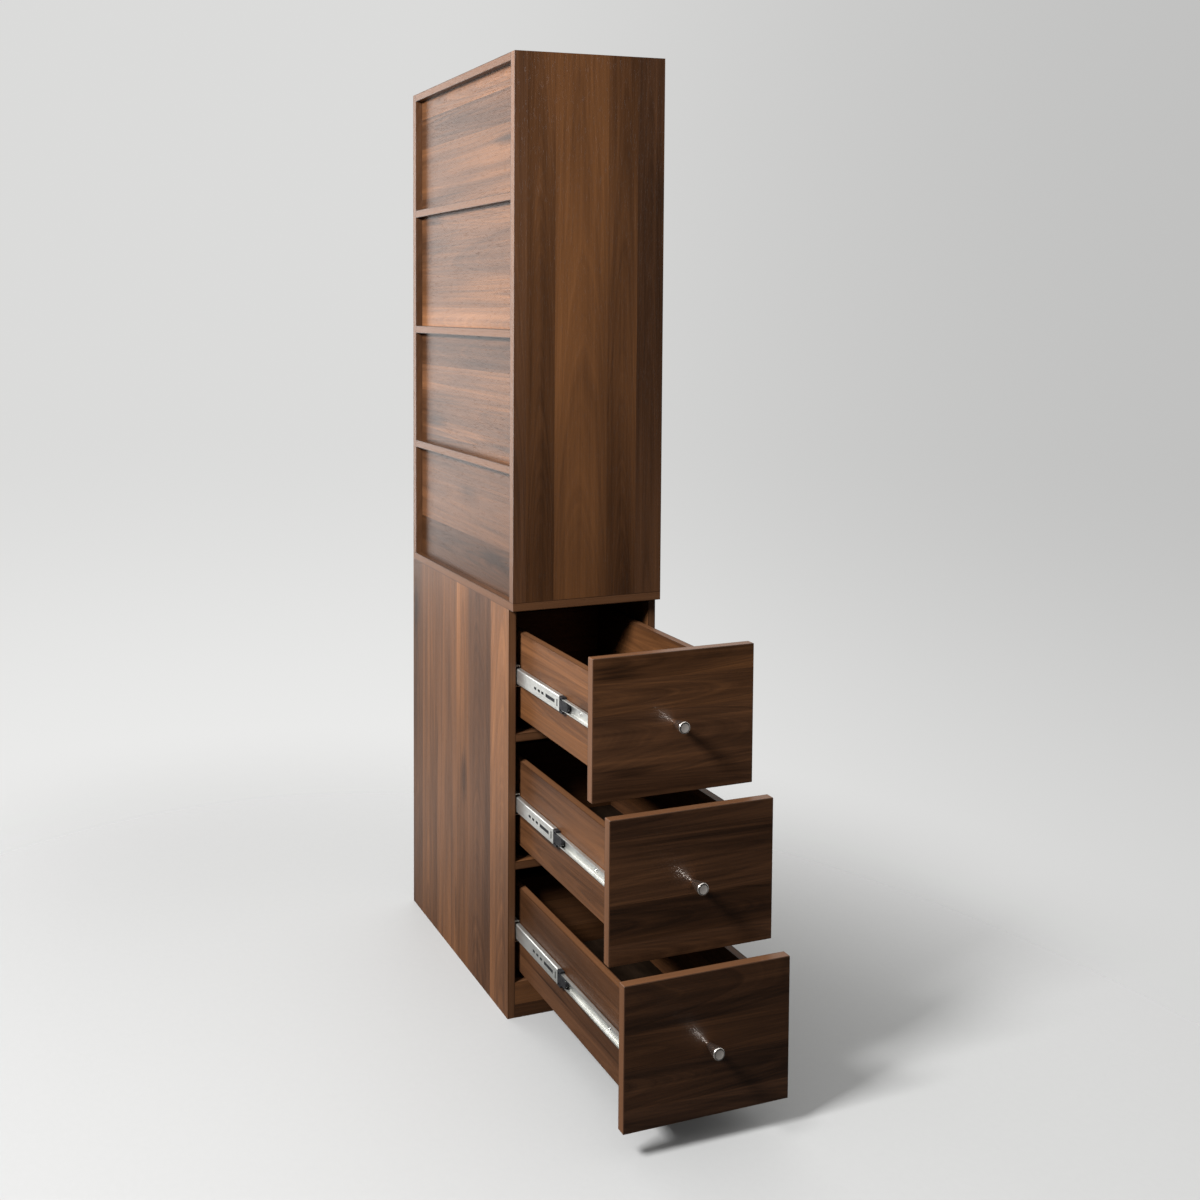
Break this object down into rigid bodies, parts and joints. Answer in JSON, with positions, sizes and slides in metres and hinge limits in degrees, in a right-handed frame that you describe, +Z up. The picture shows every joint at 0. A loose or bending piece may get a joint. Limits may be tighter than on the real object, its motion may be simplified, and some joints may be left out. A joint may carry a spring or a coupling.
{
  "type": "display shelving unit",
  "caption": "Tall narrow walnut shelving unit: an open side-facing shelf tower with recessed backs, standing on a base with deep drawers on telescopic ball slides.",
  "frame": {"origin": "on the floor, under the middle of the unit's outline as stored, with its drawers drawn out", "axes": "+Z up, -Y the way the drawers open, +Y to the rear, +X the open side of the shelves"},
  "size_m": [0.31, 0.856, 1.8],
  "materials": {
    "walnut_board": "satin walnut foil on particle board with edge banding",
    "drawer_bottom_panel": "matt walnut foil on hardboard",
    "beech_dowel": "bare",
    "zinc_rail": "bright zinc plate",
    "ball_cage_steel": "zinc plate",
    "zinc_fitting": "zinc",
    "knob_steel": "satin face and polished rim",
    "black_plastic": "moulded"
  },
  "bodies": {
    "cabinet": {"base_left_panel": "walnut_board", "base_right_panel": "walnut_board", "base_back_panel": "walnut_board", "base_bottom_board": "walnut_board", "plinth_board": "walnut_board", "upper_drawer_rail": "walnut_board", "lower_drawer_rail": "walnut_board", "deck_board": "walnut_board", "tower_front_panel": "walnut_board", "tower_rear_panel": "walnut_board", "top_board": "walnut_board", "upper_shelf": "walnut_board", "middle_shelf": "walnut_board", "lower_shelf": "walnut_board", "upper_back_panel": "walnut_board", "upper_middle_back_panel": "walnut_board", "lower_middle_back_panel": "walnut_board", "lower_back_panel": "walnut_board", "cam_locks": "zinc_fitting", "cam_bolts": "zinc_fitting", "base_dowels": "beech_dowel", "drawer_1_outer_rails": "zinc_rail", "drawer_2_outer_rails": "zinc_rail", "drawer_3_outer_rails": "zinc_rail"},
    "drawer_1": {"drawer_1_front": "walnut_board", "drawer_1_left_side": "walnut_board", "drawer_1_right_side": "walnut_board", "drawer_1_back": "walnut_board", "drawer_1_bottom": "drawer_bottom_panel", "drawer_1_knob": "knob_steel", "drawer_1_screws": "zinc_fitting", "drawer_1_drawer_rails": "zinc_rail"},
    "middle_rails_1": {"drawer_1_middle_rails": "zinc_rail", "drawer_1_rail_bumpers": "black_plastic"},
    "outer_ball_cages_1": {"drawer_1_outer_ball_cages": "ball_cage_steel"},
    "inner_ball_cages_1": {"drawer_1_inner_ball_cages": "ball_cage_steel"},
    "drawer_2": {"drawer_2_front": "walnut_board", "drawer_2_left_side": "walnut_board", "drawer_2_right_side": "walnut_board", "drawer_2_back": "walnut_board", "drawer_2_bottom": "drawer_bottom_panel", "drawer_2_knob": "knob_steel", "drawer_2_screws": "zinc_fitting", "drawer_2_drawer_rails": "zinc_rail"},
    "middle_rails_2": {"drawer_2_middle_rails": "zinc_rail", "drawer_2_rail_bumpers": "black_plastic"},
    "outer_ball_cages_2": {"drawer_2_outer_ball_cages": "ball_cage_steel"},
    "inner_ball_cages_2": {"drawer_2_inner_ball_cages": "ball_cage_steel"},
    "drawer_3": {"drawer_3_front": "walnut_board", "drawer_3_left_side": "walnut_board", "drawer_3_right_side": "walnut_board", "drawer_3_back": "walnut_board", "drawer_3_bottom": "drawer_bottom_panel", "drawer_3_knob": "knob_steel", "drawer_3_screws": "zinc_fitting", "drawer_3_drawer_rails": "zinc_rail"},
    "middle_rails_3": {"drawer_3_middle_rails": "zinc_rail", "drawer_3_rail_bumpers": "black_plastic"},
    "outer_ball_cages_3": {"drawer_3_outer_ball_cages": "ball_cage_steel"},
    "inner_ball_cages_3": {"drawer_3_inner_ball_cages": "ball_cage_steel"}
  },
  "joints": [
    {"name": "drawer_1_slide", "type": "slide", "parent": "cabinet", "child": "drawer_1", "axis": [0, -1, 0], "range_m": [-0.267, 0.133]},
    {"name": "middle_rails_1_slide", "type": "slide", "parent": "cabinet", "child": "middle_rails_1", "axis": [0, -1, 0], "range_m": [-0.1821, 0.0907]},
    {"name": "outer_ball_cages_1_slide", "type": "slide", "parent": "cabinet", "child": "outer_ball_cages_1", "axis": [0, -1, 0], "range_m": [-0.0911, 0.0454]},
    {"name": "inner_ball_cages_1_slide", "type": "slide", "parent": "cabinet", "child": "inner_ball_cages_1", "axis": [0, -1, 0], "range_m": [-0.2246, 0.1119]},
    {"name": "drawer_2_slide", "type": "slide", "parent": "cabinet", "child": "drawer_2", "axis": [0, -1, 0], "range_m": [-0.319, 0.081]},
    {"name": "middle_rails_2_slide", "type": "slide", "parent": "cabinet", "child": "middle_rails_2", "axis": [0, -1, 0], "range_m": [-0.1641, 0.0417]},
    {"name": "outer_ball_cages_2_slide", "type": "slide", "parent": "cabinet", "child": "outer_ball_cages_2", "axis": [0, -1, 0], "range_m": [-0.082, 0.0209]},
    {"name": "inner_ball_cages_2_slide", "type": "slide", "parent": "cabinet", "child": "inner_ball_cages_2", "axis": [0, -1, 0], "range_m": [-0.2415, 0.0614]},
    {"name": "drawer_3_slide", "type": "slide", "parent": "cabinet", "child": "drawer_3", "axis": [0, -1, 0], "range_m": [-0.363, 0.037]},
    {"name": "middle_rails_3_slide", "type": "slide", "parent": "cabinet", "child": "middle_rails_3", "axis": [0, -1, 0], "range_m": [-0.1811, 0.0185]},
    {"name": "outer_ball_cages_3_slide", "type": "slide", "parent": "cabinet", "child": "outer_ball_cages_3", "axis": [0, -1, 0], "range_m": [-0.0905, 0.0093]},
    {"name": "inner_ball_cages_3_slide", "type": "slide", "parent": "cabinet", "child": "inner_ball_cages_3", "axis": [0, -1, 0], "range_m": [-0.272, 0.0278]}
  ],
  "couplings": [
    {"joint": "middle_rails_1_slide", "follows": "drawer_1_slide", "ratio": 0.68165},
    {"joint": "outer_ball_cages_1_slide", "follows": "drawer_1_slide", "ratio": 0.34082},
    {"joint": "inner_ball_cages_1_slide", "follows": "drawer_1_slide", "ratio": 0.84082},
    {"joint": "middle_rails_2_slide", "follows": "drawer_2_slide", "ratio": 0.51411},
    {"joint": "outer_ball_cages_2_slide", "follows": "drawer_2_slide", "ratio": 0.25705},
    {"joint": "inner_ball_cages_2_slide", "follows": "drawer_2_slide", "ratio": 0.75705},
    {"joint": "middle_rails_3_slide", "follows": "drawer_3_slide", "ratio": 0.49862},
    {"joint": "outer_ball_cages_3_slide", "follows": "drawer_3_slide", "ratio": 0.24931},
    {"joint": "inner_ball_cages_3_slide", "follows": "drawer_3_slide", "ratio": 0.74931}
  ]
}
